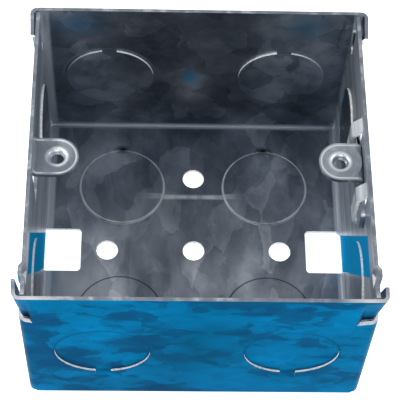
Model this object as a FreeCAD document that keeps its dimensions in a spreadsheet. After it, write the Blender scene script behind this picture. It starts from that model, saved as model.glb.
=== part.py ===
import FreeCAD, Part
import math
import os
import re
import Sketcher

# A pressed and folded sheet-steel back box for one wiring accessory.
# It lies on its back: Z = 0 is the underside of the base, the open mouth is at the top, X runs
# across the two accessory lugs and the origin is the middle of the base.

V = FreeCAD.Vector
doc = FreeCAD.newDocument("flush_back_box")

# Driving dimensions in millimetres
SIZES = {
    # folded shell
    "box_width": 71.8,              # across X, over the two side walls
    "box_length": 72.0,             # along Y, over the two end walls
    "box_depth": 47.0,              # base underside to rim
    "sheet": 0.8,                   # steel thickness
    "bend_inner": 0.6,              # inside radius between base and walls
    "wall_end_gap": 0.5,            # side wall's end to end wall's inner face
    "corner_slit": 0.15,            # sheared slit in the base where two bends meet
    "end_wall_inset": 0.7,          # how far the end wall's bend stops short of the side wall
    # corner tabs, bent round from the end walls on to the side walls
    "corner_inner": 0.8,            # inside radius of the upright corner bend
    "tab_gap": 0.1,                 # side wall to tab where the tab lies tight
    "tab_foot": 1.6,                # base underside to the lower end of the tabs
    "tab_low": 4.5,                 # tab length from the end wall's outer face
    "front_left_tab": 4.6,          # the same at the rim
    "front_right_tab": 3.5,
    "back_left_tab": 7.6,
    "back_right_tab": 7.3,
    "ear_height": 5.0,              # rim to where a tab has its lower length
    "front_left_flare": 0.65,       # how far the rim of a corner springs outwards
    "front_right_flare": 0.95,
    "back_left_flare": 0.55,
    "back_right_flare": 1.0,
    "front_left_tip": 0.45,         # how much further out the free end of the tab stands
    "front_right_tip": 0.05,
    "back_left_tip": -0.4,
    "back_right_tip": -0.4,
    # corner crimps: lanced across the corner, metal above the cut pressed in
    "crimp_below_rim": 9.7,         # rim to the cut at the corner
    "crimp_cut_drop": 1.2,          # how much lower its inner end lies
    "left_crimp_reach": 3.3,        # corner to the inner end of the cut
    "right_crimp_reach": 5.0,
    "crimp_margin": 0.5,            # end of the cut to the crease
    "left_crimp_ramp": 0.9,         # length of the slope from the crease
    "right_crimp_ramp": 1.2,
    "crimp_push": 1.25,
    "crimp_side_push": 0.3,
    "crimp_tab_ramp": 1.0,
    "crimp_corner_inner": 0.45,     # inside radius of the corner where it is pressed in
    "notch_length": 2.9,            # relief in the side wall's end that takes the crimp
    "notch_low": 0.7,               # below the cut
    "notch_high": 7.9,              # above the cut
    # knock-outs, sheared discs left standing a little inwards
    "knockout": 20.2,
    "knockout_push": 0.45,
    "tie_width": 3.4,               # slope over which a disc still hangs on its wall
    "tie_length": 2.3,
    "wall_knockout_inset": 15.8,    # box corner to the disc's centre, along the wall
    "wall_knockout_height": 22.3,
    "base_knockout_inset": 18.7,    # wall's outer face to the disc's centre
    # base holes
    "fixing_hole": 5.1,
    "fixing_to_window": 6.2,        # window's near edge to the hole beside it
    "fixing_to_end": 16.2,          # end wall's outer face to the hole before it
    "window_width": 8.5,
    "window_length": 11.2,
    "window_corner": 0.9,
    "window_clip": 0.9,             # the right-hand window's clipped corner
    # accessory lugs
    "lug_hole_inset": 5.75,         # side wall's outer face to the hole: holes 60.3 apart
    "lug_below_rim": 4.4,
    "lug_width": 9.2,
    "lug_bend_inner": 1.0,
    "thread_core": 2.9,             # M3.5
    "hole_entry": 0.9,              # rolled-in edge of the plunged hole
    "collar": 4.6,
    "collar_depth": 1.1,            # below the lug's underside
    "lug_window_below": 11.4,       # lug face to the lower end of the slot it was cut from
    "lug_window_side": 0.25,
    # adjustable lug and the two straps that hold it
    "slider_sheet": 1.0,
    "slider_play": 0.1,
    "slider_bend_inner": 0.4,
    "slider_offset": -0.4,          # where the lug stands along Y
    "slider_leg": 25.0,             # length of its upright leg along Y
    "slider_leg_low": 8.0,          # lug face to the leg's lower edge
    "slider_leg_high": 1.3,         # lug face to the leg's upper edge
    "slider_leg_corner": 2.0,
    "strap_spacing": 16.2,
    "strap_width": 3.4,
    "strap_slot_side": 0.15,
    "strap_top": 2.9,               # rim to the upper root of a strap
    "strap_ramp": 2.2,
    "strap_height": 12.9,
    # stop dimples pressed out of the side walls behind the front tabs
    "stop_length": 3.4,
    "stop_push": 0.7,
    "stop_height": 4.0,
    "stop_from_tab": 0.4,
}

sheet = doc.addObject("Spreadsheet::Sheet", "Sizes")
for row, (alias, value) in enumerate(SIZES.items(), start=1):
    sheet.set("A%d" % row, str(value))
    sheet.setAlias("A%d" % row, alias)
doc.recompute()


def size(text):
    """A formula of sheet names, written out as an expression on the sheet."""
    return re.sub(r"[a-z_]+", lambda word: "Sizes." + word.group(), text)


def read(alias):
    return float(sheet.get(alias))


# Building blocks: bodies, sketches and features whose sizes are formulas of the sheet

def new_body(label):
    body = doc.addObject("PartDesign::Body", label)
    body.Label = label
    return body


def new_sketch(body, plane, place="0"):
    """A sketch on the plane, moved to the place along its axis; XZ_Plane looks along -Y."""
    sketch = body.newObject("Sketcher::SketchObject", body.Name + "_sketch")
    origin_plane = [item for item in body.Origin.OriginFeatures if item.Role == plane][0]
    sketch.AttachmentSupport = [(origin_plane, "")]
    sketch.MapMode = "FlatFace"
    offset = "-(%s)" % place if plane == "XZ_Plane" else place
    sketch.setExpression("AttachmentOffset.Base.z", size(offset))
    return sketch


def fix(sketch, constraints, formulas):
    """Add constraints together; those with a formula follow the sheet."""
    indices = sketch.addConstraint(constraints)
    for index, formula in zip(indices, formulas):
        if formula:
            sketch.setExpression("Constraints[%d]" % index, size(formula))


def draw_polygon(sketch, corners):
    first = sketch.GeometryCount
    count = len(corners)
    start = [FreeCAD.Rotation(V(0, 0, 1), 360 * i / count).multVec(V(10, 0, 0)) for i in range(count)]
    sides = [Part.LineSegment(start[i], start[(i + 1) % count]) for i in range(count)]
    sketch.addGeometry(sides, False)
    constraints, formulas = [], []
    for i, (x, y) in enumerate(corners):
        following = first + (i + 1) % count
        constraints += [
            Sketcher.Constraint("Coincident", first + i, 2, following, 1),
            Sketcher.Constraint("DistanceX", -1, 1, first + i, 1, start[i].x),
            Sketcher.Constraint("DistanceY", -1, 1, first + i, 1, start[i].y),
        ]
        formulas += [None, x, y]
    fix(sketch, constraints, formulas)


def draw_rectangle(sketch, left, low, right, high):
    draw_polygon(sketch, [(left, low), (right, low), (right, high), (left, high)])


def draw_circle(sketch, centre, diameter):
    index = sketch.addGeometry(Part.Circle(V(1, 1, 0), V(0, 0, 1), 1), False)
    fix(sketch, [
        Sketcher.Constraint("DistanceX", -1, 1, index, 3, 1),
        Sketcher.Constraint("DistanceY", -1, 1, index, 3, 1),
        Sketcher.Constraint("Diameter", index, 2),
    ], [centre[0], centre[1], diameter])


def add_pad(body, sketch, length, side="One side", reverse=False):
    pad = body.newObject("PartDesign::Pad", body.Name + "_pad")
    pad.Profile = sketch
    pad.SideType = side
    pad.Reversed = reverse
    pad.setExpression("Length", size(length))
    doc.recompute()
    return pad


def add_pocket(body, sketch, length, side="Symmetric", reverse=False):
    before = body.Shape.Volume
    pocket = body.newObject("PartDesign::Pocket", body.Name + "_pocket")
    pocket.Profile = sketch
    pocket.SideType = side
    pocket.Reversed = reverse
    pocket.setExpression("Length", size(length))
    doc.recompute()
    if body.Shape.Volume >= before:
        raise RuntimeError(pocket.Name + " cuts nothing")
    return pocket


def edges_where(shape, test):
    return ["Edge%d" % (i + 1) for i, edge in enumerate(shape.Edges) if test(edge)]


def round_edges(body, test, radius):
    base = body.Tip
    names = edges_where(base.Shape, test)
    if not names:
        raise RuntimeError(body.Name + " has no edge to round")
    rounding = body.newObject("PartDesign::Fillet", body.Name + "_bend")
    rounding.Base = (base, names)
    rounding.setExpression("Radius", size(radius))
    doc.recompute()
    return rounding


def lies_at(edge, direction, x=None, y=None, z=None):
    """True for a straight edge along the direction whose middle has the coordinates given."""
    if edge.Curve.TypeId != "Part::GeomLine":
        return False
    if abs(abs(edge.tangentAt(edge.FirstParameter).dot(direction)) - 1) > 1e-6:
        return False
    middle = edge.CenterOfMass
    wanted = ((middle.x, x), (middle.y, y), (middle.z, z))
    return all(target is None or abs(here - target) < 1e-4 for here, target in wanted)


ALONG_X, ALONG_Y, ALONG_Z = V(1, 0, 0), V(0, 1, 0), V(0, 0, 1)


TIE_SECTION = {"XY_Plane": "YZ_Plane", "YZ_Plane": "XZ_Plane", "XZ_Plane": "YZ_Plane"}


def add_knockouts(body, plane, outer, inward, discs):
    """Half-sheared discs: each stands in from the inner face and leaves a recess behind it.

    outer is the place of the metal's outer face along the plane's axis and inward the sign of the
    way in. A disc is its centre and the sign of the upright way on which it still hangs by a slope.
    """
    inner = "%s %s sheet" % (outer, inward)
    along_normal = (inward == "+") != (plane == "XZ_Plane")
    for face, cuts in ((outer, True), (inner, False)):
        sketch = new_sketch(body, plane, face)
        for across, upright, tie_side in discs:
            draw_circle(sketch, (across, upright), "knockout")
        if cuts:
            add_pocket(body, sketch, "knockout_push", "One side", reverse=along_normal)
        else:
            add_pad(body, sketch, "knockout_push", "One side", reverse=not along_normal)
        pushed = "%s %s knockout_push" % (face, inward)
        for across in sorted({disc[0] for disc in discs}):
            slopes = new_sketch(body, TIE_SECTION[plane], across)
            for upright, tie_side in [disc[1:] for disc in discs if disc[0] == across]:
                root = "%s %s (knockout / 2 - tie_width / 2)" % (upright, tie_side)
                edge = "%s %s knockout / 2" % (upright, tie_side)
                tip = "%s %s (knockout / 2 + tie_length)" % (upright, tie_side)
                outline = [(root, face), (root, pushed), (edge, pushed), (tip, face)]
                if plane != "XY_Plane":
                    outline = [(depth, height) for height, depth in outline]
                draw_polygon(slopes, outline)
            if cuts:
                add_pocket(body, slopes, "tie_width", "Symmetric")
            else:
                add_pad(body, slopes, "tie_width", "Symmetric")


# The channel: base and both side walls, bent up from one flat strip
channel = new_body("channel")
section = new_sketch(channel, "XZ_Plane")
draw_polygon(section, [
    ("-box_width / 2", "0"),
    ("box_width / 2", "0"),
    ("box_width / 2", "box_depth"),
    ("box_width / 2 - sheet", "box_depth"),
    ("box_width / 2 - sheet", "sheet"),
    ("-box_width / 2 + sheet", "sheet"),
    ("-box_width / 2 + sheet", "box_depth"),
    ("-box_width / 2", "box_depth"),
])
add_pad(channel, section, "box_length - 2 * sheet - 2 * wall_end_gap", "Symmetric")
round_edges(channel, lambda edge: lies_at(edge, ALONG_Y, z=read("sheet")), "bend_inner")
round_edges(channel, lambda edge: lies_at(edge, ALONG_Y, z=0), "bend_inner + sheet")

# Base: five round fixing holes and a square window beside each side wall
drilled = new_sketch(channel, "XY_Plane")
draw_circle(drilled, ("0", "0"), "fixing_hole")
for side in ("-", ""):
    beside = "%s(box_width / 2 - sheet - window_width - fixing_to_window)" % side
    before = "%s(box_length / 2 - fixing_to_end)" % side
    draw_circle(drilled, (beside, "0"), "fixing_hole")
    draw_circle(drilled, ("0", before), "fixing_hole")
add_pocket(channel, drilled, "4 * sheet")
windows = new_sketch(channel, "XY_Plane")
draw_rectangle(
    windows,
    "-box_width / 2 + sheet", "-window_length / 2",
    "-box_width / 2 + sheet + window_width", "window_length / 2",
)
draw_polygon(windows, [
    ("box_width / 2 - sheet - window_width", "-window_length / 2"),
    ("box_width / 2 - sheet", "-window_length / 2"),
    ("box_width / 2 - sheet", "window_length / 2 - window_clip"),
    ("box_width / 2 - sheet - window_clip", "window_length / 2"),
    ("box_width / 2 - sheet - window_width", "window_length / 2"),
])
add_pocket(channel, windows, "2 * (sheet + bend_inner)")
window_near = read("box_width") / 2 - read("sheet") - read("window_width")
round_edges(
    channel,
    lambda edge: lies_at(edge, ALONG_Z) and abs(abs(edge.CenterOfMass.x) - window_near) < 1e-4,
    "window_corner",
)

# Knock-outs of the base and of the side walls
add_knockouts(channel, "XY_Plane", "0", "+", [
    (
        "%s(box_width / 2 - base_knockout_inset)" % across,
        "%s(box_length / 2 - base_knockout_inset)" % along,
        along or "+",
    )
    for across in ("-", "") for along in ("-", "")
])


def wall_pair(wall_length, tie_side):
    return [
        ("%s(%s / 2 - wall_knockout_inset)" % (side, wall_length), "wall_knockout_height", tie_side)
        for side in ("-", "")
    ]


add_knockouts(channel, "YZ_Plane", "-box_width / 2", "+", wall_pair("box_length", "-"))
add_knockouts(channel, "YZ_Plane", "box_width / 2", "-", wall_pair("box_length", "-"))

# Slits in the base where its bends meet, so that each bend has a free end
slits = new_sketch(channel, "XY_Plane")
for hand in ("-", ""):
    for side in ("-", ""):
        draw_rectangle(
            slits,
            "%s(box_width / 2 - sheet - bend_inner)" % hand,
            "%s(box_length / 2 - 1.1 * sheet - bend_inner - corner_slit)" % side,
            "%s(box_width / 2 + sheet)" % hand,
            "%s(box_length / 2)" % side,
        )
add_pocket(channel, slits, "2 * (sheet + bend_inner)")

# Notches in the ends of the side walls, which take the crimped corners
CUT_HEIGHT = "box_depth - crimp_below_rim"
notches = new_sketch(channel, "YZ_Plane")
for side in ("-", ""):
    end = "%s(box_length / 2)" % side
    root = "%s(box_length / 2 - sheet - wall_end_gap - notch_length)" % side
    draw_rectangle(
        notches, root, CUT_HEIGHT + " - notch_low", end, CUT_HEIGHT + " + notch_high",
    )
add_pocket(channel, notches, "2 * box_width")

# Stop dimples at the rim of the side walls, just behind the front tabs
STOP_START = "-box_length / 2 + front_left_tab + stop_from_tab"
for side in ("-", ""):
    for wall_face, cuts in (("box_width / 2 - sheet", True), ("box_width / 2", False)):
        dimple = new_sketch(channel, "XY_Plane", "box_depth")
        foot = "%s(%s)" % (side, wall_face)
        crest = "%s(%s + stop_push)" % (side, wall_face)
        draw_polygon(dimple, [
            (foot, STOP_START),
            (crest, STOP_START + " + stop_length / 4"),
            (crest, STOP_START + " + 3 * stop_length / 4"),
            (foot, STOP_START + " + stop_length"),
        ])
        if cuts:
            add_pocket(channel, dimple, "stop_height - sheet / 2", "One side")
        else:
            add_pad(channel, dimple, "stop_height", "One side", reverse=True)

# Slot in the left wall that the fixed lug was cut from, and the slots behind the straps
LUG_FACE = "box_depth - lug_below_rim"
lug_slot = new_sketch(channel, "YZ_Plane", "-box_width / 2")
draw_rectangle(
    lug_slot,
    "-lug_width / 2 - lug_window_side", LUG_FACE + " - lug_window_below",
    "lug_width / 2 + lug_window_side", LUG_FACE + " + 2 * lug_bend_inner",
)
add_pocket(channel, lug_slot, "4 * sheet")
strap_slots = new_sketch(channel, "YZ_Plane", "box_width / 2")
for side in ("-", ""):
    middle = "%s(strap_spacing / 2)" % side
    draw_rectangle(
        strap_slots,
        middle + " - strap_width / 2 - strap_slot_side", "box_depth - strap_top - strap_height",
        middle + " + strap_width / 2 + strap_slot_side", "box_depth - strap_top",
    )
add_pocket(channel, strap_slots, "4 * sheet")

# The straps: the wall's own metal pressed inwards as two bridges over the sliding lug's leg
STRAP_INNER = "box_width / 2 - 2 * sheet - slider_sheet - 2 * slider_play"
STRAP_OUTER = "box_width / 2 - sheet - slider_sheet - 2 * slider_play"
STRAP_TOP = "box_depth - strap_top"
STRAP_FOOT = STRAP_TOP + " - strap_height"
for side in ("-", ""):
    bridge = new_sketch(channel, "XZ_Plane", "%s(strap_spacing / 2)" % side)
    draw_polygon(bridge, [
        ("box_width / 2 - sheet", STRAP_TOP),
        (STRAP_INNER, STRAP_TOP + " - strap_ramp"),
        (STRAP_INNER, STRAP_FOOT + " + strap_ramp"),
        ("box_width / 2 - sheet", STRAP_FOOT),
        ("box_width / 2", STRAP_FOOT),
        ("box_width / 2", STRAP_FOOT + " + sheet / 2"),
        (STRAP_OUTER, STRAP_FOOT + " + strap_ramp + sheet / 2"),
        (STRAP_OUTER, STRAP_TOP + " - strap_ramp - sheet / 2"),
        ("box_width / 2", STRAP_TOP + " - sheet / 2"),
        ("box_width / 2", STRAP_TOP),
    ])
    add_pad(channel, bridge, "strap_width", "Symmetric")


def add_lug_tongue(body, side, root, metal, middle):
    """The round-ended tongue of a lug with its plunged and tapped hole.

    side is the sign of X, root the X where the flat metal starts, metal its thickness and middle
    the tongue's place along Y.
    """
    tongue = new_sketch(body, "XY_Plane", LUG_FACE)
    hole_x = "%s(box_width / 2 - lug_hole_inset)" % side
    draw_rectangle(tongue, root, middle + " - lug_width / 2", hole_x, middle + " + lug_width / 2")
    add_pad(body, tongue, metal, "One side", reverse=True)
    for diameter, depth in (("lug_width", metal), ("collar", metal + " + collar_depth")):
        disc = new_sketch(body, "XY_Plane", LUG_FACE)
        draw_circle(disc, (hole_x, middle), diameter)
        add_pad(body, disc, depth, "One side", reverse=True)
    hole = new_sketch(body, "XY_Plane", LUG_FACE)
    draw_circle(hole, (hole_x, middle), "thread_core")
    add_pocket(body, hole, metal + " + collar_depth", "One side")
    face = read("box_depth") - read("lug_below_rim")
    core = read("thread_core") / 2

    def is_entry(edge):
        if edge.Curve.TypeId != "Part::GeomCircle" or abs(edge.Curve.Radius - core) > 1e-4:
            return False
        return abs(edge.CenterOfMass.z - face) < 1e-4

    round_edges(body, is_entry, "hole_entry")


# The fixed lug: a tongue of the left wall bent in over its own slot
face_height = read("box_depth") - read("lug_below_rim")
left_inner = -read("box_width") / 2 + read("sheet")
bracket = new_sketch(channel, "XZ_Plane")
draw_polygon(bracket, [
    ("-box_width / 2", LUG_FACE + " - sheet"),
    ("-box_width / 2 + sheet + 2 * lug_bend_inner", LUG_FACE + " - sheet"),
    ("-box_width / 2 + sheet + 2 * lug_bend_inner", LUG_FACE),
    ("-box_width / 2 + sheet", LUG_FACE),
    ("-box_width / 2 + sheet", LUG_FACE + " + 2 * lug_bend_inner"),
    ("-box_width / 2", LUG_FACE + " + 2 * lug_bend_inner"),
])
add_pad(channel, bracket, "lug_width", "Symmetric")
round_edges(channel, lambda edge: lies_at(edge, ALONG_Y, left_inner, 0, face_height), "lug_bend_inner")
round_edges(
    channel,
    lambda edge: lies_at(edge, ALONG_Y, left_inner - read("sheet"), 0, face_height - read("sheet")),
    "lug_bend_inner + sheet",
)
add_lug_tongue(channel, "-", "-box_width / 2 + sheet + lug_bend_inner", "sheet", "0")


# The end walls: each is bent up from the base and carries a tab round each upright corner
CORNER = "box_width / 2 + tab_gap + sheet"


def make_end_wall(label, side, tie_side):
    body = new_body(label)
    outer = "%s(box_length / 2)" % side
    inner = "%s(box_length / 2 - sheet)" % side
    flange = "%s(box_length / 2 - 1.1 * sheet - bend_inner)" % side
    profile = new_sketch(body, "YZ_Plane")
    draw_polygon(profile, [
        (outer, "0"), (flange, "0"), (flange, "sheet"), (inner, "sheet"), (inner, "box_depth"),
        (outer, "box_depth"),
    ])
    add_pad(body, profile, "box_width - 2 * end_wall_inset", "Symmetric")
    way = -1 if side else 1
    y_outer = way * read("box_length") / 2
    y_inner = y_outer - way * read("sheet")
    round_edges(body, lambda edge: lies_at(edge, ALONG_X, y=y_inner, z=read("sheet")), "bend_inner")
    round_edges(body, lambda edge: lies_at(edge, ALONG_X, y=y_outer, z=0), "bend_inner + sheet")

    add_knockouts(body, "XZ_Plane", outer, "+" if side else "-", wall_pair("box_width", tie_side))

    # the tabs, lying tight on the side walls
    tip = "%s(box_length / 2 - tab_low)" % side
    for hand in ("-", ""):
        tab = new_sketch(body, "XY_Plane", "tab_foot")
        root = "%s(box_width / 2 - end_wall_inset - sheet / 2)" % hand
        face = "%s(%s)" % (hand, CORNER)
        back = "%s(box_width / 2 + tab_gap)" % hand
        draw_polygon(tab, [
            (root, outer), (face, outer), (face, tip), (back, tip), (back, inner), (root, inner),
        ])
        add_pad(body, tab, "box_depth - tab_foot")
    corner_x = read("box_width") / 2 + read("tab_gap") + read("sheet")

    def is_corner(x, y):
        return lambda edge: lies_at(edge, ALONG_Z, y=y) and abs(abs(edge.CenterOfMass.x) - x) < 1e-4

    round_edges(body, is_corner(corner_x - read("sheet"), y_inner), "corner_inner")
    round_edges(body, is_corner(corner_x, y_outer), "corner_inner + sheet")

    # above the lanced cut the metal beyond its inner end belongs to the crimped corners
    cut = new_sketch(body, "XZ_Plane")
    for hand, reach in (("-", "left_crimp_reach"), ("", "right_crimp_reach")):
        inner_end = "%s(%s - %s)" % (hand, CORNER, reach)
        beyond = "%s(%s + %s)" % (hand, CORNER, reach)
        draw_polygon(cut, [
            (inner_end, CUT_HEIGHT + " - crimp_cut_drop"),
            (beyond, CUT_HEIGHT + " + crimp_cut_drop"),
            (beyond, "box_depth + sheet"),
            (inner_end, "box_depth + sheet"),
        ])
    add_pocket(body, cut, "2 * box_length")
    return body


walls = [
    make_end_wall("front_wall", "-", "-"),
    make_end_wall("back_wall", "", "+"),
]


# The crimped corners: above the cut the corner is pressed in, and springs out again at the rim
def inset(points, distance):
    """The line of points moved to its right-hand side, mitred at every bend."""
    ways = [(after - before).normalize() for before, after in zip(points, points[1:])]
    moved = []
    for i, point in enumerate(points):
        first = ways[max(i - 1, 0)]
        second = ways[min(i, len(ways) - 1)]
        middle = (first + second).normalize()
        normal = V(middle.y, -middle.x, 0)
        moved.append(point + normal * (distance / middle.dot(first)))
    return moved


def bent_line(points, corner, radius):
    """Edges along the points with one of them rounded."""
    bend = points[corner]
    to_before = (points[corner - 1] - bend).normalize()
    to_after = (points[corner + 1] - bend).normalize()
    half = to_before.getAngle(to_after) / 2
    start = bend + to_before * (radius / math.tan(half))
    end = bend + to_after * (radius / math.tan(half))
    centre = bend + (to_before + to_after).normalize() * (radius / math.sin(half))
    middle = centre + (bend - centre).normalize() * radius
    before = points[:corner] + [start]
    after = [end] + points[corner + 1:]
    edges = [Part.makeLine(a, b) for a, b in zip(before, before[1:])]
    edges.append(Part.Arc(start, middle, end).toShape())
    edges += [Part.makeLine(a, b) for a, b in zip(after, after[1:])]
    return edges


def strip_outline(points, inner_radius):
    """Closed outline of the sheet whose outer side follows the points; the fourth is the corner."""
    back = list(reversed(inset(points, read("sheet"))))
    edges = bent_line(points, 3, inner_radius + read("sheet"))
    edges.append(Part.makeLine(points[-1], back[0]))
    edges += bent_line(back, len(points) - 4, inner_radius)
    edges.append(Part.makeLine(back[-1], points[0]))
    return Part.Wire(edges)


def make_crimped_corner(side, side_name, hand, hand_name):
    """Drawn for the corner at +X +Y and mirrored into its place."""
    name = "%s_%s" % (side_name, hand_name)
    corner_x = read("box_width") / 2 + read("tab_gap") + read("sheet")
    corner_y = read("box_length") / 2
    rim = read("box_depth")
    cut_height = rim - read("crimp_below_rim")
    reach = read(hand_name + "_crimp_reach")
    ramp = read(hand_name + "_crimp_ramp")
    start_x = corner_x - reach
    crease_x = start_x + read("crimp_margin")
    pressed_y = corner_y - read("crimp_push")
    pressed_x = corner_x - read("crimp_side_push")
    tight_y = corner_y - read("sheet") - read("wall_end_gap") - read("notch_length") + read("sheet") / 2
    low_tip_y = corner_y - read("tab_low")
    pressed = [
        V(start_x, corner_y, cut_height),
        V(crease_x, corner_y, cut_height),
        V(crease_x + ramp, pressed_y, cut_height),
        V(pressed_x, pressed_y, cut_height),
        V(pressed_x, tight_y + read("crimp_tab_ramp"), cut_height),
        V(corner_x, tight_y, cut_height),
        V(corner_x, low_tip_y, cut_height),
    ]
    rim_x = corner_x + read(name + "_flare")
    tab = V(read(name + "_tip"), -read(name + "_tab"), 0)
    near = min(1, read("tab_low") / read(name + "_tab"))
    sprung = [
        V(start_x, corner_y, rim),
        V(crease_x, corner_y, rim),
        V(crease_x + ramp, corner_y, rim),
        V(rim_x, corner_y, rim),
    ]
    sprung += [sprung[3] + tab * share for share in (0.6 * near, 0.8 * near, 1)]

    # between the two, a section where the tab has come down to its lower length
    rise = 1 - read("ear_height") / read("crimp_below_rim")
    halfway = [low + (high - low) * rise for low, high in zip(pressed, sprung)]
    last = halfway[6] - halfway[5]
    halfway[6] = halfway[5] + last * ((low_tip_y - halfway[5].y) / last.y)
    bend = (read("crimp_corner_inner"), read("corner_inner"))
    low_outline = strip_outline(pressed, bend[0])
    upper = Part.makeLoft([
        low_outline,
        strip_outline(halfway, bend[0] + (bend[1] - bend[0]) * rise),
        strip_outline(sprung, bend[1]),
    ], True, True)
    drop = read("crimp_cut_drop")
    lower = Part.Face(low_outline).extrude(V(0, 0, -drop))
    far = corner_x + reach
    above_cut = Part.Face(Part.makePolygon([
        V(start_x, 0, cut_height - drop), V(far, 0, cut_height + drop), V(far, 0, rim + 1),
        V(start_x, 0, rim + 1), V(start_x, 0, cut_height - drop),
    ])).extrude(V(0, corner_y + 1, 0))
    formed = upper.fuse(lower).common(above_cut)
    if hand < 0:
        formed = formed.mirror(V(0, 0, 0), ALONG_X)
    if side < 0:
        formed = formed.mirror(V(0, 0, 0), ALONG_Y)
    corner = doc.addObject("Part::Feature", "crimp_" + name)
    corner.Shape = formed.Solids[0]
    corner.Placement = FreeCAD.Placement()
    return corner


corners = [
    make_crimped_corner(side, side_name, hand, hand_name)
    for hand, hand_name in ((-1, "left"), (1, "right"))
    for side, side_name in ((-1, "front"), (1, "back"))
]

# The shell is one folded piece: channel, end walls and corners joined
box = doc.addObject("Part::MultiFuse", "box_body")
box.Label = "box_body"
box.Shapes = [channel] + walls + corners
box.Refine = True
doc.recompute()

# The adjustable lug: its own bent bracket, hung in the two straps and sliding along Y
slider = new_body("adjustable_lug")
SLIDER_BACK = "box_width / 2 - sheet - slider_play"
SLIDER_FRONT = SLIDER_BACK + " - slider_sheet"
SLIDER_UNDER = LUG_FACE + " - slider_sheet"
elbow = new_sketch(slider, "XZ_Plane", "slider_offset")
draw_polygon(elbow, [
    (SLIDER_FRONT, LUG_FACE + " - slider_leg_low"),
    (SLIDER_BACK, LUG_FACE + " - slider_leg_low"),
    (SLIDER_BACK, LUG_FACE),
    (SLIDER_FRONT + " - 2 * slider_sheet", LUG_FACE),
    (SLIDER_FRONT + " - 2 * slider_sheet", SLIDER_UNDER),
    (SLIDER_FRONT, SLIDER_UNDER),
])
add_pad(slider, elbow, "lug_width", "Symmetric")
back_x = read("box_width") / 2 - read("sheet") - read("slider_play")
front_x = back_x - read("slider_sheet")
under = face_height - read("slider_sheet")
round_edges(slider, lambda edge: lies_at(edge, ALONG_Y, x=front_x, z=under), "slider_bend_inner")
round_edges(
    slider, lambda edge: lies_at(edge, ALONG_Y, x=back_x, z=face_height), "slider_bend_inner + slider_sheet",
)
leg = new_sketch(slider, "YZ_Plane", SLIDER_FRONT)
draw_rectangle(
    leg,
    "slider_offset - slider_leg / 2", LUG_FACE + " - slider_leg_low",
    "slider_offset + slider_leg / 2", LUG_FACE + " - slider_leg_high",
)
add_pad(slider, leg, "slider_sheet")
leg_ends = [read("slider_offset") + side * read("slider_leg") / 2 for side in (-1, 1)]
round_edges(
    slider, lambda edge: any(lies_at(edge, ALONG_X, y=end) for end in leg_ends), "slider_leg_corner",
)
add_lug_tongue(slider, "", SLIDER_FRONT + " - slider_sheet", "slider_sheet", "slider_offset")

# Every object is sound before anything is written
doc.recompute()
for item in doc.Objects:
    if "Invalid" in item.State or "Error" in item.State:
        raise RuntimeError("%s does not rebuild" % item.Name)
    shape = getattr(item, "Shape", None)
    if shape is not None and item.isDerivedFrom("Part::Feature"):
        if shape.isNull() or not shape.isValid():
            raise RuntimeError("%s has no sound shape" % item.Name)
for item in (box, slider):
    if len(item.Shape.Solids) != 1:
        raise RuntimeError("%s is not one solid" % item.Label)

os.makedirs("parts", exist_ok=True)
for item in (box, slider):
    item.Shape.exportStep("parts/%s.step" % item.Label)
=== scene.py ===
import math

import bmesh
import bpy
from mathutils import Matrix, Vector
from mathutils.bvhtree import BVHTree


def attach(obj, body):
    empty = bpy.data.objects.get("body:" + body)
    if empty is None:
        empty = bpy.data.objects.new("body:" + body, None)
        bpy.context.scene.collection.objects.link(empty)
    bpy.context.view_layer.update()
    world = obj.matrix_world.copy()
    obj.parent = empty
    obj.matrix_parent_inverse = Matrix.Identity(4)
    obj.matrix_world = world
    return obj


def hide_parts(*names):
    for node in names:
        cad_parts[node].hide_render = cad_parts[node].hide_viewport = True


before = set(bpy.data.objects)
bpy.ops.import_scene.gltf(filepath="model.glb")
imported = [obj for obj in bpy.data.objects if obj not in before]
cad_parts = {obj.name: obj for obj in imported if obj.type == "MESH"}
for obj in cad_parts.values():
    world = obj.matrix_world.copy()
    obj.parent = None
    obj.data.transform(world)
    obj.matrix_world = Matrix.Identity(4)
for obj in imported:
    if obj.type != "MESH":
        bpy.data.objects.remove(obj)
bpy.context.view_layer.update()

MM = 0.001

# The folded shell. It is one blank of 0.8 mm steel sheet, hot-dip galvanised, then sheared,
# pressed and folded: both skins keep the zinc, and every sheared edge is rougher and brighter.
# Its true form comes from the frame; here the edges are broken and the lug's thread is cut.
SHEET = 0.8 * MM
WALL_X = 35.9 * MM              # from the middle to the outer face of a side wall
WALL_Y = 36.0 * MM              # and to that of an end wall
MOUTH = 47.0 * MM               # height of the rim
LUG_FACE = MOUTH - 4.4 * MM
HOLE_X = 30.15 * MM             # from the middle to the threaded hole of either lug


def worked_copy(node_name):
    """The node's mesh merged, with its flat faces made whole."""
    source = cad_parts[node_name]
    bm = bmesh.new()
    bm.from_mesh(source.data)
    bm.transform(source.matrix_world)
    bmesh.ops.remove_doubles(bm, verts=bm.verts, dist=0.001 * MM)
    bmesh.ops.dissolve_limit(
        bm, angle_limit=math.radians(0.6), verts=bm.verts, edges=bm.edges, delimit={"NORMAL"},
    )
    return bm


def metal_behind(face, tree):
    """Depth of metal under the face, measured straight in from its middle."""
    middle = face.calc_center_median_weighted()
    just_inside = middle - face.normal * 0.02 * MM
    hit_place, _, _, depth = tree.ray_cast(just_inside, -face.normal)
    return depth if hit_place else 0.0


def is_outer_skin(middle, normal):
    """A skin that looks away from the box's inside and lies on one of its five outer sides.

    The crimps lead the end walls' skin further in than a knock-out leads a side wall's.
    """
    inside = Vector((0, 0, 20 * MM))
    on_a_side = (
        abs(middle.x) > WALL_X - 0.7 * MM
        or abs(middle.y) > WALL_Y - 1.5 * MM
        or middle.z < 0.9 * SHEET
    )
    return on_a_side and normal.dot(middle - inside) > 0 and normal.z < 0.7


INSIDE, OUTSIDE, CUT, RIM = range(4)


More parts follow.
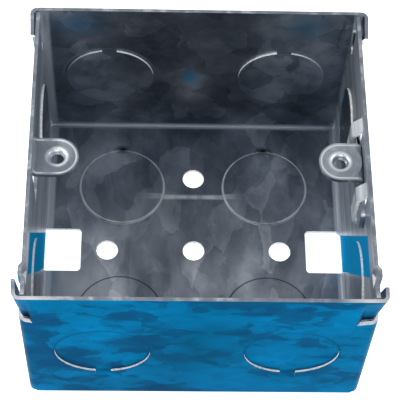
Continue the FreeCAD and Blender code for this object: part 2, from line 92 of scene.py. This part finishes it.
def sort_faces(bm):
    """Skins lie one sheet apart; any other face is a sheared edge, painted darker as shade at mouth and
    lug.
    """
    tree = BVHTree.FromBMesh(bm)
    for face in bm.faces:
        middle = face.calc_center_median()
        high_up = middle.z > 30 * MM
        crimp_edge = high_up and abs(face.normal.z) > 0.8 and abs(middle.y) > WALL_Y - 2 * SHEET
        if metal_behind(face, tree) > 2 * SHEET or crimp_edge:
            at_mouth = face.normal.z > 0.7 and middle.z > MOUTH - 2 * MM
            by_fixed_lug = high_up and middle.x < -24 * MM and abs(middle.y) < 7 * MM
            face.material_index = RIM if at_mouth or by_fixed_lug else CUT
        elif is_outer_skin(middle, face.normal):
            face.material_index = OUTSIDE
        else:
            face.material_index = INSIDE


def cut_thread(bm, x, y, length):
    """M3.5 turns: the plain hole's wall is set back to the root and one ridge wound round it."""
    core, root, pitch = 1.45 * MM, 1.72 * MM, 0.6 * MM
    high = LUG_FACE - 0.9 * MM      # under the hole's rolled-in edge
    low = high - length
    near = 0.1 * MM
    for vert in bm.verts:
        away = Vector((vert.co.x - x, vert.co.y - y, 0))
        if abs(away.length - core) < 0.03 * MM and low - near < vert.co.z < high + near:
            vert.co += away.normalized() * (root - core)
    steps = 40                      # in each turn
    turns = length / pitch - 0.4
    foot = root + 0.03 * MM         # sunk a little into the wall
    profile = [
        bm.verts.new((x + radius, y, low + rise))
        for radius, rise in ((foot, 0), (core, pitch * 0.42), (foot, pitch * 0.84))
    ]
    ridge = [bm.edges.new(profile[:2]), bm.edges.new(profile[1:])]
    bmesh.ops.spin(
        bm, geom=profile + ridge, cent=(x, y, 0), axis=(0, 0, 1), dvec=(0, 0, pitch / steps),
        angle=math.tau * turns, steps=round(steps * turns),
    )
    bmesh.ops.recalc_face_normals(bm, faces=[f for f in bm.faces if f.normal.length < 0.5])


def finish_piece(name, bm):
    """The bmesh as an object whose sharp edges are slightly broken, as the press leaves them."""
    mesh = bpy.data.meshes.new(name)
    bm.to_mesh(mesh)
    bm.free()
    mesh.shade_smooth()
    mesh.set_sharp_from_angle(angle=math.radians(32))
    piece = bpy.data.objects.new(name, mesh)
    bpy.context.scene.collection.objects.link(piece)
    broken = piece.modifiers.new("broken edges", "BEVEL")
    broken.width = 0.07 * MM
    broken.segments = 2
    broken.limit_method = "ANGLE"
    broken.angle_limit = math.radians(38)
    broken.harden_normals = True
    flat = piece.modifiers.new("flat sheet", "WEIGHTED_NORMAL")
    flat.keep_sharp = True
    return piece


shell_bm = worked_copy("box_body")
sort_faces(shell_bm)
cut_thread(shell_bm, -HOLE_X, 0, 1.0 * MM)
shell = finish_piece("folded_shell", shell_bm)


def mm(*lengths):
    """Millimetres as a tuple of metres."""
    return tuple(length * MM for length in lengths)


def linear(hex_colour):
    """An sRGB hex colour as linear RGBA."""
    values = [int(hex_colour[i:i + 2], 16) / 255 for i in (1, 3, 5)]
    return tuple(v / 12.92 if v <= 0.04045 else ((v + 0.055) / 1.055) ** 2.4 for v in values) + (1.0,)


def add_node(tree, kind, inputs=None, **settings):
    """Adds a node; an input is a value or the socket that feeds it."""
    new = tree.nodes.new(kind)
    for key, value in settings.items():
        setattr(new, key, value)
    for key, value in (inputs or {}).items():
        if isinstance(value, bpy.types.NodeSocket):
            tree.links.new(value, new.inputs[key])
        else:
            new.inputs[key].default_value = value
    return new


def new_material(name):
    """A material with an empty tree, and the Object coordinates in it."""
    material = bpy.data.materials.new(name)
    material.use_nodes = True
    tree = material.node_tree
    tree.nodes.clear()
    return material, tree, add_node(tree, "ShaderNodeTexCoord").outputs["Object"]


def colour_ramp(tree, factor, stops):
    """Colours by a factor from 0 to 1; the stops are pairs of a position and a hex colour."""
    ramp = add_node(tree, "ShaderNodeValToRGB", {"Fac": factor})
    for element, (position, colour) in zip(ramp.color_ramp.elements, (stops[0], stops[-1])):
        element.position = position
        element.color = linear(colour)
    for position, colour in stops[1:-1]:
        ramp.color_ramp.elements.new(position).color = linear(colour)
    return ramp.outputs["Color"]


def weighted(tree, parts):
    """The sum of sockets, each times its weight."""
    total = 0.0
    for socket, weight in parts:
        total = add_node(
            tree, "ShaderNodeMath", {0: socket, 1: weight, 2: total}, operation="MULTIPLY_ADD",
        ).outputs[0]
    return total


def crystal_shade(tree, place, stretch, large, small, cloud):
    """Zinc crystals about 7 mm across over finer feathers and soft clouds, from 0 to 1.

    stretch scales the pattern along X, Y and Z; the rest are the three layers' weights.
    """
    drawn = add_node(tree, "ShaderNodeVectorMath", {0: place, 1: stretch}, operation="MULTIPLY").outputs[0]
    wander = 6 * MM             # how far the crystals' edges stray
    drift = add_node(tree, "ShaderNodeTexNoise", {"Vector": drawn, "Scale": 1 / wander, "Detail": 5.0})
    amount = add_node(
        tree, "ShaderNodeVectorMath", {0: drift.outputs["Color"], 1: (wander,) * 3}, operation="MULTIPLY",
    )
    drifted = add_node(
        tree, "ShaderNodeVectorMath", {0: drawn, 1: amount.outputs[0]}, operation="ADD",
    ).outputs[0]
    layers = []
    for width, weight in ((7 * MM, large), (2.6 * MM, small)):
        cells = add_node(tree, "ShaderNodeTexVoronoi", {"Vector": drifted, "Scale": 1 / width})
        split = add_node(tree, "ShaderNodeSeparateColor", {"Color": cells.outputs["Color"]})
        layers.append((split.outputs["Red"], weight))
    clouds = add_node(tree, "ShaderNodeTexNoise", {"Vector": drawn, "Scale": 1 / (9 * MM), "Detail": 4.0})
    layers.append((clouds.outputs["Fac"], cloud))
    return weighted(tree, layers)


def greatest(tree, masks):
    """One mask that is as strong as the strongest of several."""
    total = masks[0]
    for mask in masks[1:]:
        total = add_node(tree, "ShaderNodeMath", {0: total, 1: mask}, operation="MAXIMUM").outputs[0]
    return total


def as_shares(tree, place, centre, half):
    """The way from the centre as shares of the half sizes, so that a box's faces lie at 1."""
    from_centre = add_node(tree, "ShaderNodeVectorMath", {0: place, 1: centre}, operation="SUBTRACT")
    return add_node(
        tree, "ShaderNodeVectorMath", {0: from_centre.outputs[0], 1: half}, operation="DIVIDE",
    ).outputs[0]


def patch(tree, place, centre, half, edge):
    """A mask of 1 inside a box about the centre and 0 outside, over a soft edge given as a share."""
    shares = as_shares(tree, place, centre, half)
    sizes = add_node(tree, "ShaderNodeVectorMath", {0: shares}, operation="ABSOLUTE")
    axes = add_node(tree, "ShaderNodeSeparateXYZ", {"Vector": sizes.outputs[0]}).outputs
    return add_node(tree, "ShaderNodeMapRange", {
        "Value": greatest(tree, list(axes)), "From Min": 1 + edge, "From Max": 1 - edge,
    }, interpolation_type="SMOOTHSTEP").outputs[0]


def round_patch(tree, place, centre, half):
    """A mask that fades from 1 at the centre to 0 on an ellipsoid."""
    shares = as_shares(tree, place, centre, half)
    return add_node(
        tree, "ShaderNodeTexGradient", {"Vector": shares}, gradient_type="SPHERICAL",
    ).outputs["Fac"]


def ring_patch(tree, place, centre, radius, half_width, run_on=0):
    """A mask of 1 on a ring about the centre that fades over half_width to either side.

    run_on of -1 or 1 leads the ring on in straight lines towards -X or +X.
    """
    arm = add_node(tree, "ShaderNodeVectorMath", {0: place, 1: centre}, operation="SUBTRACT").outputs[0]
    if run_on:
        arm = add_node(
            tree, "ShaderNodeVectorMath", {0: arm, 1: (0, run_on, run_on)},
            operation="MAXIMUM" if run_on < 0 else "MINIMUM",
        ).outputs[0]
    away = add_node(tree, "ShaderNodeVectorMath", {0: arm}, operation="LENGTH")
    off = add_node(tree, "ShaderNodeMath", {0: away.outputs["Value"], 1: radius}, operation="SUBTRACT")
    size = add_node(tree, "ShaderNodeMath", {0: off.outputs[0]}, operation="ABSOLUTE")
    return add_node(tree, "ShaderNodeMapRange", {
        "Value": size.outputs[0], "From Min": half_width, "From Max": 0.0,
    }, interpolation_type="SMOOTHSTEP").outputs[0]


def tinted(tree, base, mask, tint, share=1):
    """The base colour turned to the tint where the mask is 1, or by a share of the way."""
    if share != 1:
        mask = weighted(tree, [(mask, share)])
    return add_node(
        tree, "ShaderNodeMix", {"Factor": mask, "A": base, "B": tint}, data_type="RGBA",
    ).outputs["Result"]


def lug_highlights(tree, place, hole_x, hole_y, run_on):
    """Masks of a lug's painted highlights: on the dish round its hole, and along the broken edge all
    round.
    """
    centre = (hole_x, hole_y, LUG_FACE - 1 * MM)
    return [
        ring_patch(tree, place, centre, 2.3 * MM, 0.7 * MM),
        ring_patch(tree, place, centre, 4.2 * MM, 0.3 * MM, run_on),
    ]


def finish_zinc(tree, shade, colour, metallic, roughness, glance=(1, 1, 1, 1), sheen=0.5):
    """Semi-gloss zinc: paler crystals are smoother, and each stands a trace proud.

    metallic and sheen may be sockets; glance tints the reflection at a glancing angle.
    """
    gloss = add_node(tree, "ShaderNodeMapRange", {
        "Value": shade, "To Min": roughness + 0.08, "To Max": roughness - 0.08,
    })
    relief = add_node(tree, "ShaderNodeBump", {"Height": shade, "Strength": 0.05, "Distance": 0.3 * MM})
    surface = add_node(tree, "ShaderNodeBsdfPrincipled", {
        "Base Color": colour, "Specular Tint": glance, "Specular IOR Level": sheen,
        "Metallic": metallic, "Roughness": gloss.outputs[0], "Normal": relief.outputs[0],
    })
    add_node(tree, "ShaderNodeOutputMaterial", {"Surface": surface.outputs[0]})


def finish_sheared(tree, colour, metallic, roughness):
    """The even surface of a sheared edge."""
    surface = add_node(tree, "ShaderNodeBsdfPrincipled", {
        "Base Color": colour, "Metallic": metallic, "Roughness": roughness,
    })
    add_node(tree, "ShaderNodeOutputMaterial", {"Surface": surface.outputs[0]})


# Spangled zinc inside: mid grey crystals in soft clouds; the side walls are painted lighter, as light
# falls on them, in fine streaks along their length
zinc_inside, tree, place = new_material("spangled_zinc_grey")
shade = crystal_shade(tree, place, (1, 0.6, 1), large=0.2, small=0.08, cloud=0.72)
grey = colour_ramp(tree, shade, [(0.32, "#646d79"), (0.5, "#8b939f"), (0.68, "#b9c0c9")])
# Painted shade: the back wall turned darker, for the dark it mirrors
back_wall_shade = patch(tree, place, mm(0, 35.7, 26), mm(36, 0.9, 24.6), 0.02)
grey = tinted(tree, grey, back_wall_shade, linear("#3c4450"), 0.35)
# Painted light: the side walls turned lighter, in streaks along their length
lit_side_walls = greatest(tree, [
    patch(tree, place, mm(side * 35.7, 0, 23), mm(0.9, 40, 30), 0.05) for side in (-1, 1)
])
along = add_node(tree, "ShaderNodeVectorMath", {0: place, 1: (1, 0.06, 1)}, operation="MULTIPLY")
streak_noise = add_node(
    tree, "ShaderNodeTexNoise", {"Vector": along.outputs[0], "Scale": 1 / (2.6 * MM), "Detail": 3.0},
).outputs["Fac"]
lit_streaks = colour_ramp(tree, streak_noise, [(0.36, "#7a838e"), (0.5, "#969ea8"), (0.64, "#b1b8c1")])
grey = tinted(tree, grey, lit_side_walls, lit_streaks)
# Painted shade on the middle of the base and on the right wall towards the back, and a painted pool of
# light on the base before the left window
for centre, half, share, tint in (
    (mm(-6, 10, 1), mm(34, 20, 4), 0.5, "#3c4450"),             # middle of the base
    (mm(35.7, 28, 32), mm(3, 18, 26), 0.7, "#3c4450"),          # right wall towards the back
    (mm(-25, -12, 1), mm(11, 12, 3), 0.5, "#ccd2da"),           # base before the left window
):
    grey = tinted(tree, grey, round_patch(tree, place, centre, half), linear(tint), share)

# A second, fainter painted highlight over the upper half of each disc in the back wall
DISC = 10.1 * MM                # radius of a knock-out
END_DISC_X = 20.2 * MM          # centres of those in the end walls
END_DISC_Z = 22.3 * MM
BACK = WALL_Y - SHEET           # inner face of the back wall
disc_arc_highlights = greatest(tree, [
    add_node(tree, "ShaderNodeMath", {
        0: ring_patch(tree, place, (side * END_DISC_X, BACK, END_DISC_Z), DISC + 0.8 * MM, 0.35 * MM),
        1: patch(tree, place, (side * END_DISC_X, BACK, END_DISC_Z + 9 * MM), mm(12, 1, 9), 0.2),
    }, operation="MULTIPLY").outputs[0]
    for side in (-1, 1)
])
grey = tinted(tree, grey, disc_arc_highlights, linear("#8b93a0"))

# Painted highlights: soft ones along the bends, on the fixed lug and in the upright corner at the back
# left, bright ones round the half-sheared discs at the back and on straps and lug, a painted reflection of
# the rim and a painted glint in the corner
BASE_DISC_X = WALL_X - 18.7 * MM        # centres of the base's knock-outs
BASE_DISC_Y = WALL_Y - 18.7 * MM
soft_highlights = greatest(tree, [
    patch(tree, place, centre, half, edge) for centre, half, edge in (
        (mm(0, 35, 1.1), mm(33, 0.7, 0.7), 0.5),                # bend to the back wall
        (mm(-34.1, 0, 1), mm(0.8, 34, 0.9), 0.5),               # bends to the side walls
        (mm(34.6, 0, 1.6), mm(0.7, 34, 1.1), 0.5),
        (mm(-31, 0, 41.2), mm(6.2, 5, 1.2), 0.05),              # fixed lug
        (mm(-34.4, 34.3, 23), mm(0.9, 1.6, 22), 0.6),           # upright corner at the back left
    )
])
strap_highlights = [
    patch(tree, place, mm(34.2, side * 8.1, 38), mm(1.5, 1.9, 7), 0.05) for side in (-1, 1)
]
back_disc_highlights = [
    ring_patch(tree, place, (side * BASE_DISC_X, BASE_DISC_Y, 1 * MM), DISC, 0.4 * MM)
    for side in (-1, 1)
]
mirrored_rim = patch(tree, place, mm(0, 14.7, 0.8), mm(7.6, 0.5, 1), 0.8)
glint = patch(tree, place, mm(35.4, 34.5, 41.9), mm(0.5, 0.6, 0.45), 0.3)
fixed_lug_highlights = lug_highlights(tree, place, -HOLE_X, 0, -1)
bright_highlights = greatest(tree, strap_highlights + back_disc_highlights + [mirrored_rim, glint] + fixed_lug_highlights)
highlight_tone = colour_ramp(tree, streak_noise, [(0.35, "#aab2bc"), (0.48, "#dde2e8"), (0.6, "#f6f8fa")])
grey = tinted(tree, grey, soft_highlights, linear("#aab1bb"))
grey = tinted(tree, grey, bright_highlights, highlight_tone)

# Painted shade and dark reflection, where it only mirrors the dark back wall: at the edges of the front
# discs, in the dip at the tongue of each disc at the back, and as a slit of painted shade under the glint
front_discs = [
    ring_patch(tree, place, (side * BASE_DISC_X, -BASE_DISC_Y, 1 * MM), DISC, 0.4 * MM)
    for side in (-1, 1)
]
tongues = []
for side in (-1, 1):
    centre = (side * BASE_DISC_X, BASE_DISC_Y + 10.5 * MM, 1 * MM)
    tongues.append(weighted(tree, [(round_patch(tree, place, centre, mm(2.6, 1.6, 2)), 1.2)]))
slit_shade = patch(tree, place, mm(35.42, 34.2, 39.4), mm(0.25, 0.8, 1.8), 0.4)
dark = greatest(tree, front_discs + tongues + [slit_shade])
grey = tinted(tree, grey, dark, linear("#232930"))

# Painted reflections of the blue surroundings: each base window in the side wall beside it, leaning back
# as it climbs, a thin streak near the right wall's back, a fixing hole in the back wall, and a faint sky
# in the back wall's upper corners
LEAN = 0.55                     # backwards, for each step upwards
axes = add_node(tree, "ShaderNodeSeparateXYZ", {"Vector": place}).outputs
leaning_y = add_node(
    tree, "ShaderNodeMath", {0: axes["Z"], 1: LEAN, 2: axes["Y"]}, operation="MULTIPLY_ADD",
)
leaning = add_node(tree, "ShaderNodeCombineXYZ", {
    "X": axes["X"], "Y": leaning_y.outputs[0], "Z": axes["Z"],
}).outputs[0]
mirrored_windows = greatest(tree, [
    patch(tree, leaning, mm(side * 36, 0.1, 21), mm(1.8, 5, 20.5), 0.04) for side in (-1, 1)
] + [
    patch(tree, place, mm(35.2, 30, 16.3), mm(0.8, 0.4, 8.3), 0.4),
])
grey = tinted(tree, grey, mirrored_windows, linear("#1a90c6"))
for centre, half, tint in (
    (mm(-1.3, 35, 22), mm(2.8, 3, 4.2), "#2a82ac"),             # fixing hole
    (mm(-27, 35, 42), mm(8, 3, 6), "#44708f"),                  # upper corners
    (mm(24, 35, 42), mm(8, 3, 6), "#48697f"),
):
    grey = tinted(tree, grey, round_patch(tree, place, centre, half), linear(tint))

# Where the side walls are painted lighter and where the painted highlights lie, the zinc is made less
# metallic, more matt than clean zinc, and the painted blue reflection keeps its flat colour without any
# sheen
matt = weighted(tree, [(greatest(tree, [lit_side_walls, soft_highlights, bright_highlights]), 0.6)])
metal = add_node(
    tree, "ShaderNodeMath", {0: 1.0, 1: greatest(tree, [matt, mirrored_windows])}, operation="SUBTRACT",
)
sheen = add_node(tree, "ShaderNodeMapRange", {"Value": mirrored_windows, "To Min": 0.5, "To Max": 0.0})
finish_zinc(
    tree, shade, grey, metallic=metal.outputs[0], roughness=0.36, sheen=sheen.outputs[0],
)

# Spangled zinc outside, painted with the blue surroundings it mirrors: bright blue crossed by flat navy
# patches, darker in the middle of the front, and with a fine line of painted shade round its discs
zinc_outside, tree, place = new_material("spangled_zinc_blue_reflection")
shade = crystal_shade(tree, place, (0.6, 0.6, 1.0), large=0.16, small=0.14, cloud=0.7)
blue = colour_ramp(tree, shade, [
    (0.36, "#0c385a"), (0.47, "#0a4466"), (0.5, "#055277"), (0.68, "#05618d"),
])
middle = round_patch(tree, place, mm(0, -36, 26), mm(15, 3, 26))
disc_shade = greatest(tree, [
    ring_patch(tree, place, (side * END_DISC_X, -WALL_Y, END_DISC_Z), DISC + 0.1 * MM, 0.5 * MM)
    for side in (-1, 1)
])
blue = tinted(tree, blue, middle, linear("#03344c"), 0.7)
blue = tinted(tree, blue, disc_shade, linear("#062c44"), 0.6)
finish_zinc(tree, shade, blue, metallic=1.0, roughness=0.35, glance=(0.48, 0.58, 0.68, 1))

# Sheared steel: bright and matt where a punch or a blade has just passed
cut_steel, tree, place = new_material("sheared_steel")
grain = add_node(tree, "ShaderNodeTexNoise", {"Vector": place, "Scale": 1 / (0.7 * MM), "Detail": 3.0})
tone = colour_ramp(tree, grain.outputs["Fac"], [(0.3, "#d3d9e0"), (0.6, "#fafbfc")])
finish_sheared(tree, tone, metallic=0.0, roughness=0.45)

# The same shear at the mouth and the fixed lug in a darker copy, painted shade where light falls full on
# it: grey in fine patches, with painted highlights at the front corners
rim_steel, tree, place = new_material("shaded_rim_steel")
grain = add_node(tree, "ShaderNodeTexNoise", {"Vector": place, "Scale": 1 / (2.4 * MM), "Detail": 2.0})
tone = colour_ramp(tree, grain.outputs["Fac"], [(0.35, "#8b93a0"), (0.55, "#a0a8b4"), (0.68, "#ccd2da")])
for side in (-1, 1):
    corner_highlight = round_patch(tree, place, (side * 34 * MM, -WALL_Y, MOUTH), mm(7, 3, 3))
    tone = tinted(tree, tone, corner_highlight, linear("#ffffff"))
finish_sheared(tree, tone, metallic=1.0, roughness=0.42)

for material in (zinc_inside, zinc_outside, cut_steel, rim_steel):
    shell.data.materials.append(material)
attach(shell, "box")
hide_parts("box_body")

# The adjustable lug. It is a bracket stamped from 1 mm galvanised strip and bent once; its leg
# hangs behind the two straps of the right wall, so it slides along them.
SLIDER_Y = -0.4 * MM            # where the photograph shows it
STRIP_SKIN, STRIP_EDGE = range(2)
lug_bm = worked_copy("adjustable_lug")
tree = BVHTree.FromBMesh(lug_bm)
for face in lug_bm.faces:
    face.material_index = STRIP_EDGE if metal_behind(face, tree) > 2 * SHEET else STRIP_SKIN
cut_thread(lug_bm, HOLE_X, SLIDER_Y, 1.2 * MM)
lug = finish_piece("sliding_lug", lug_bm)

# Plain zinc on the strip: paler than the shell's, without crystals, faintly clouded
zinc_lug, tree, place = new_material("plain_zinc")
shade = crystal_shade(tree, place, (1, 1, 1), large=0.0, small=0.15, cloud=0.85)
grey = colour_ramp(tree, shade, [(0.35, "#8f969f"), (0.5, "#a2a9b2"), (0.65, "#b9bfc7")])
# Painted highlights on the dish round the hole and along the broken edge
lug_highlight_lines = greatest(tree, lug_highlights(tree, place, HOLE_X, SLIDER_Y, 1))
grey = tinted(tree, grey, lug_highlight_lines, linear("#e3e7ec"))
finish_zinc(tree, shade, grey, metallic=0.65, roughness=0.38)
for material in (zinc_lug, rim_steel):
    lug.data.materials.append(material)
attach(lug, "lug")
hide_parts("adjustable_lug")

# The setting: a white floor that glows under a dim white world, soft boxes to the left, right and
# front, and a weak broad one overhead
bm = bmesh.new()
bmesh.ops.create_grid(bm, x_segments=1, y_segments=1, size=2.0)
floor_mesh = bpy.data.meshes.new("floor")
bm.to_mesh(floor_mesh)
bm.free()
floor = bpy.data.objects.new("floor", floor_mesh)
bpy.context.scene.collection.objects.link(floor)
floor.location.z = -0.05 * MM           # clear of the base, so that the two don't flicker
paint = bpy.data.materials.new("pale_floor")
paint.use_nodes = True
coat = paint.node_tree.nodes["Principled BSDF"]
coat.inputs["Base Color"].default_value = linear("#f7f7f7")
coat.inputs["Roughness"].default_value = 0.8
coat.inputs["Emission Color"].default_value = (1, 1, 1, 1)
coat.inputs["Emission Strength"].default_value = 0.9
floor_mesh.materials.append(paint)


def soft_light(name, place, width, power, aim=(0, 0, 0.02)):
    """A square light that faces aim, by its width in metres and power in watts."""
    lamp = bpy.data.lights.new(name, "AREA")
    lamp.shape = "SQUARE"
    lamp.size = width
    lamp.energy = power
    holder = bpy.data.objects.new(name, lamp)
    holder.location = place
    holder.rotation_euler = (Vector(aim) - Vector(place)).to_track_quat("-Z", "Y").to_euler()
    bpy.context.scene.collection.objects.link(holder)


soft_light("overhead_light", (-0.15, 0.4, 0.8), 0.7, 0.7)
soft_light("left_light", (-0.6, 0.05, 0.6), 0.3, 4)
soft_light("right_light", (0.6, 0.05, 0.6), 0.3, 2.5)
soft_light("front_light", (0, -0.8, 0.35), 0.5, 6, aim=(0, 0, 0.03))

world = bpy.data.worlds.new("studio")
bpy.context.scene.world = world
world.use_nodes = True
background = world.node_tree.nodes["Background"]
background.inputs["Color"].default_value = (1, 1, 1, 1)
background.inputs["Strength"].default_value = 0.28
bpy.context.scene.view_settings.view_transform = "Standard"

# The camera, where a least-squares fit to the photograph put it
PICTURE = 400                   # pixels across
FOCAL_LENGTH = 1495.04          # in the same pixels
forward = Vector((0.03115, 0.50078, -0.86501)).normalized()
upward = Vector((-0.01116, 0.86555, 0.50069)).normalized()
sideways = forward.cross(upward)
eye = bpy.data.cameras.new("camera")
eye.sensor_width = 36
eye.lens = FOCAL_LENGTH / PICTURE * eye.sensor_width
eye.clip_start = 0.01
camera = bpy.data.objects.new("camera", eye)
turn = Matrix((sideways, upward, -forward)).transposed().to_4x4()
camera.matrix_world = Matrix.Translation((-0.009625, -0.166922, 0.313173)) @ turn
bpy.context.scene.collection.objects.link(camera)
bpy.context.scene.camera = camera
